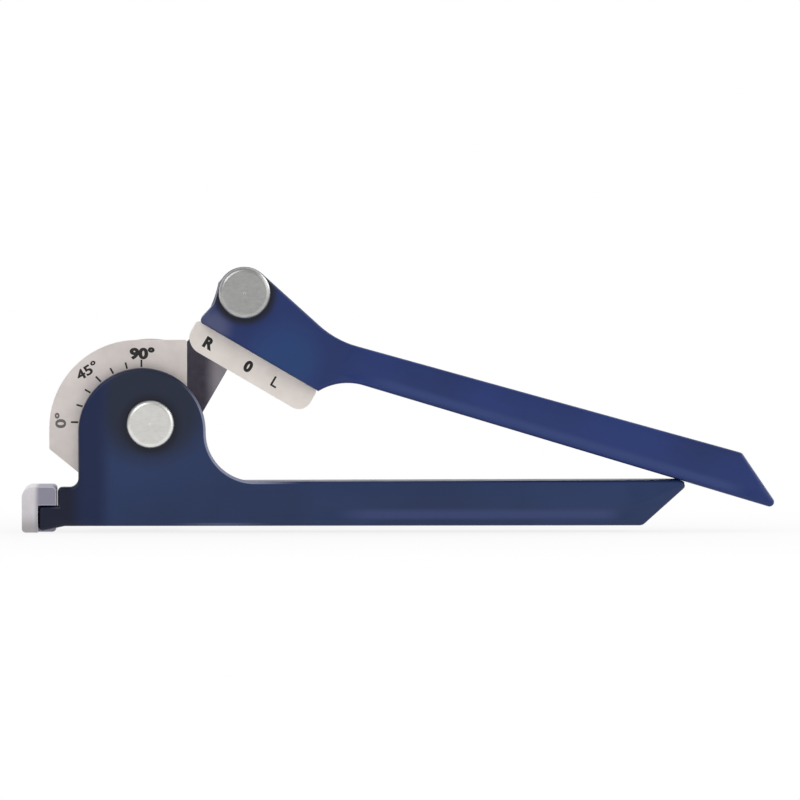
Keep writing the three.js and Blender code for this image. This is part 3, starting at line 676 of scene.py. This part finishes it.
# Stage, light and camera, in metres
def floor():
    """A pale floor that turns plain white away from the object and keeps the shadow near it."""
    bm = bmesh.new()
    bmesh.ops.create_grid(bm, x_segments=1, y_segments=1, size=4.0)
    # It lies 0.1 mm under the object's lowest face, so that the two don't share a plane
    bmesh.ops.translate(bm, verts=bm.verts, vec=(0.08, 0, cad_box[0][2] - 0.1 * MM))
    mesh = bpy.data.meshes.new("floor")
    bm.to_mesh(mesh)
    bm.free()
    piece = bpy.data.objects.new("floor", mesh)
    bpy.context.scene.collection.objects.link(piece)
    material = bpy.data.materials.new("white_paper_floor")
    material.use_nodes = True
    tree = material.node_tree
    tree.nodes.clear()
    coords = add(tree, "ShaderNodeTexCoord").outputs["Object"]
    # The object is 250 mm long and 60 mm deep, so the distance from it is taken on an oval
    oval = add(tree, "ShaderNodeMapping", {"Vector": coords, "Location": (-0.045, 0.0, 0.0),
                                           "Scale": (0.55, 1.0, 0.0)}).outputs["Vector"]
    away = add(tree, "ShaderNodeVectorMath", {0: oval}, operation="LENGTH").outputs["Value"]
    plain = add(tree, "ShaderNodeMapRange", {"Value": away, "From Min": 0.03, "From Max": 0.24,
                                             "To Min": 0.83, "To Max": 1.0}).outputs["Result"]
    # The white is for what the camera sees, straight, in a gloss or through glass, not for bounced light
    path = add(tree, "ShaderNodeLightPath")
    seen = path.outputs["Is Camera Ray"]
    for ray in ("Is Glossy Ray", "Is Transmission Ray"):
        seen = add(tree, "ShaderNodeMath", {0: seen, 1: path.outputs[ray]},
                   operation="MAXIMUM").outputs["Value"]
    paper = add(tree, "ShaderNodeBsdfDiffuse", {"Color": (0.86, 0.86, 0.86, 1.0)})
    white = add(tree, "ShaderNodeEmission", {"Color": (1, 1, 1, 1), "Strength": 1.0})
    mixed = add(tree, "ShaderNodeMixShader", {0: overlap(tree, plain, seen), 1: paper.outputs["BSDF"],
                                              2: white.outputs["Emission"]})
    # A camera below the floor looks through it, at the object's underside
    underside = add(tree, "ShaderNodeNewGeometry").outputs["Backfacing"]
    clear = add(tree, "ShaderNodeBsdfTransparent")
    surface = add(tree, "ShaderNodeMixShader", {0: overlap(tree, underside, path.outputs["Is Camera Ray"]),
                                                1: mixed.outputs["Shader"], 2: clear.outputs["BSDF"]})
    add(tree, "ShaderNodeOutputMaterial", {"Surface": surface.outputs["Shader"]})
    mesh.materials.append(material)


def world():
    """White behind and beside the object, a dimmer room in front of it on the left, and an even fill."""
    sky = bpy.data.worlds.new("studio")
    bpy.context.scene.world = sky
    sky.use_nodes = True
    tree = sky.node_tree
    tree.nodes.clear()
    path = add(tree, "ShaderNodeLightPath")
    direction = add(tree, "ShaderNodeTexCoord").outputs["Generated"]
    room = Vector((-0.35, -0.7, 0.6)).normalized()
    toward_room = add(tree, "ShaderNodeVectorMath", {0: direction, 1: tuple(room)},
                      operation="DOT_PRODUCT").outputs["Value"]
    dim = add(tree, "ShaderNodeMapRange", {"Value": toward_room, "From Min": -0.1, "From Max": 0.75,
                                           "To Min": 1.0, "To Max": 0.42}).outputs["Result"]
    # Bounced light gets the even fill, glossy rays the room, and the camera plain white.
    # A Mix node of plain numbers has its factor as input 0 and the two numbers as inputs 2 and 3.
    fill, white = 0.62, 1.0
    gloss = add(tree, "ShaderNodeMath", {0: path.outputs["Is Glossy Ray"],
                                         1: path.outputs["Is Transmission Ray"]},
                operation="MAXIMUM").outputs["Value"]
    lit = add(tree, "ShaderNodeMix", {0: gloss, 2: fill, 3: dim}).outputs[0]
    strength = add(tree, "ShaderNodeMix", {0: path.outputs["Is Camera Ray"], 2: lit, 3: white}).outputs[0]
    light = add(tree, "ShaderNodeBackground", {"Color": (1, 1, 1, 1), "Strength": strength})
    add(tree, "ShaderNodeOutputWorld", {"Surface": light.outputs["Background"]})


def lamp(name, place, target, size, power):
    """A square softbox at a place that looks at a target."""
    light = bpy.data.lights.new(name, "AREA")
    light.shape = "SQUARE"
    light.size = size
    light.energy = power
    holder = bpy.data.objects.new(name, light)
    bpy.context.scene.collection.objects.link(holder)
    holder.location = place
    holder.rotation_euler = (Vector(target) - Vector(place)).to_track_quat("-Z", "Y").to_euler()


def camera():
    """The photograph's view: level with the handles, a long lens, 270.7 mm across the picture."""
    distance, sensor, picture_width = 2.4, 36.0, 0.2707
    azimuth, elevation = math.radians(-2.0), math.radians(1.0)
    target = Vector((84.4, HANDLE_FRONT, 42.6)) * MM
    back = Vector((math.sin(azimuth) * math.cos(elevation), -math.cos(azimuth) * math.cos(elevation),
                   math.sin(elevation)))
    data = bpy.data.cameras.new("camera")
    data.sensor_width = sensor
    data.lens = sensor * distance / picture_width
    data.clip_end = 20.0
    holder = bpy.data.objects.new("camera", data)
    bpy.context.scene.collection.objects.link(holder)
    holder.location = target + distance * back
    holder.rotation_euler = (-back).to_track_quat("-Z", "Y").to_euler()
    bpy.context.scene.camera = holder


floor()
world()
lamp("key_softbox", place=(-0.7, -1.2, 1.0), target=(0.06, 0.0, 0.04), size=0.9, power=6.0)
lamp("fill_softbox", place=(1.1, -0.9, 0.5), target=(0.08, 0.0, 0.04), size=0.9, power=3.0)
lamp("side_softbox", place=(1.2, 0.35, 0.7), target=(0.05, 0.0, 0.04), size=0.8, power=6.0)
camera()
bpy.context.scene.view_settings.view_transform = "Standard"
